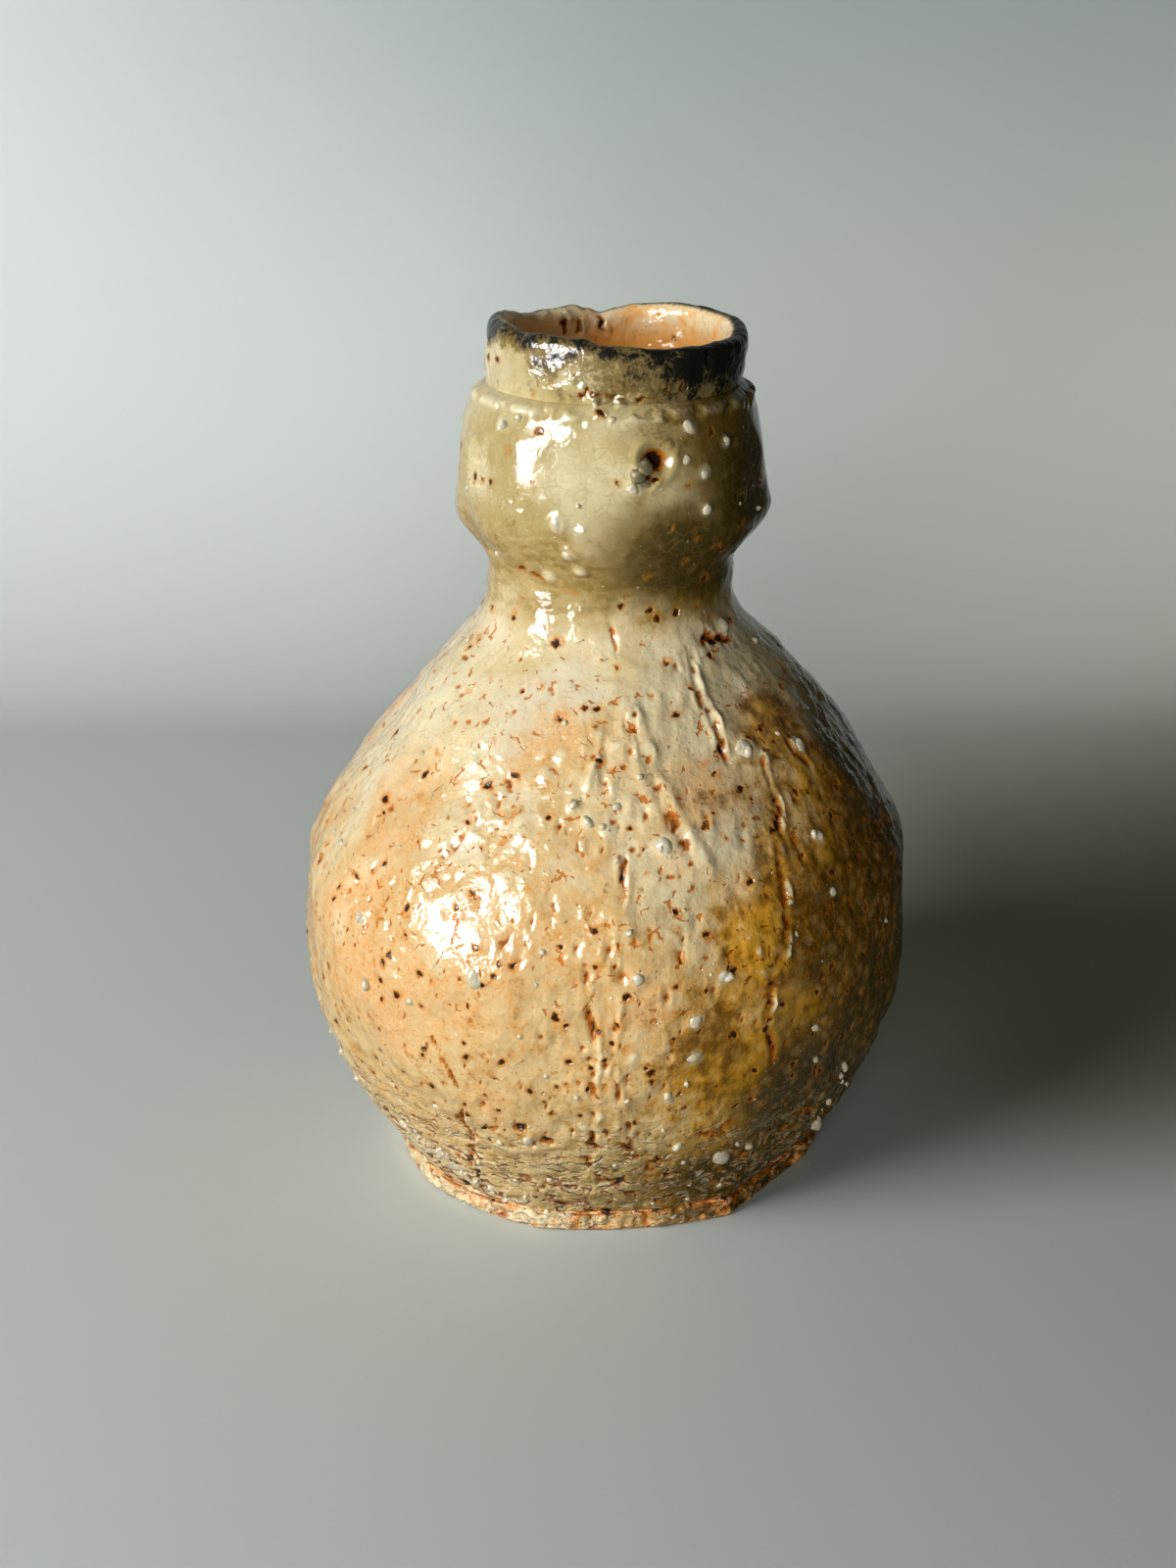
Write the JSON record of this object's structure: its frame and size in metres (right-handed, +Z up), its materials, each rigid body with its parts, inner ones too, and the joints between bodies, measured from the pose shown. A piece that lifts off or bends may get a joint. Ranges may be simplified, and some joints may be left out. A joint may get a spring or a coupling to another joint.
{
  "type": "bottle vase",
  "caption": "Hand-built gourd-shaped bottle vase: round belly, smaller bulb above a pinched waist, thick collared mouth. Holds water and a few cut stems.",
  "frame": {"origin": "middle of the foot's flat underside, on the axis that the belly is raised on", "axes": "+Z up the vase from the foot to the mouth, -Y to the front seen in the picture, +X to its right"},
  "size_m": [0.1459, 0.1463, 0.2015],
  "materials": {
    "bare_clay": "matte",
    "flashed_glaze": "gloss",
    "ash_glaze": "gloss",
    "smoked_glaze": "satin",
    "feldspar": "gloss"
  },
  "bodies": {
    "root": {"foot_slab": "bare_clay", "belly_wall": "flashed_glaze", "upper_bulb": "ash_glaze", "rim_collar": "smoked_glaze", "feldspar_neck_knob": "feldspar", "feldspar_shoulder_knob": "feldspar", "feldspar_shoulder_right": "feldspar", "feldspar_centre_lump": "feldspar", "feldspar_right_bead_high": "feldspar", "feldspar_right_bead_mid": "feldspar", "feldspar_left_flush": "feldspar", "feldspar_centre_bead": "feldspar", "feldspar_right_crease": "feldspar", "feldspar_left_large": "feldspar", "feldspar_lower_bright": "feldspar", "feldspar_lower_long": "feldspar", "feldspar_lower_oval": "feldspar", "feldspar_low_right": "feldspar", "feldspar_bulb_top": "feldspar", "feldspar_bulb_long": "feldspar", "feldspar_bulb_split": "feldspar", "feldspar_bulb_right": "feldspar", "feldspar_bulb_side": "feldspar", "feldspar_bulb_oval": "feldspar", "feldspar_bulb_centre": "feldspar", "feldspar_bulb_lower_right": "feldspar", "feldspar_bulb_left": "feldspar", "feldspar_bulb_crease": "feldspar"}
  },
  "joints": []
}
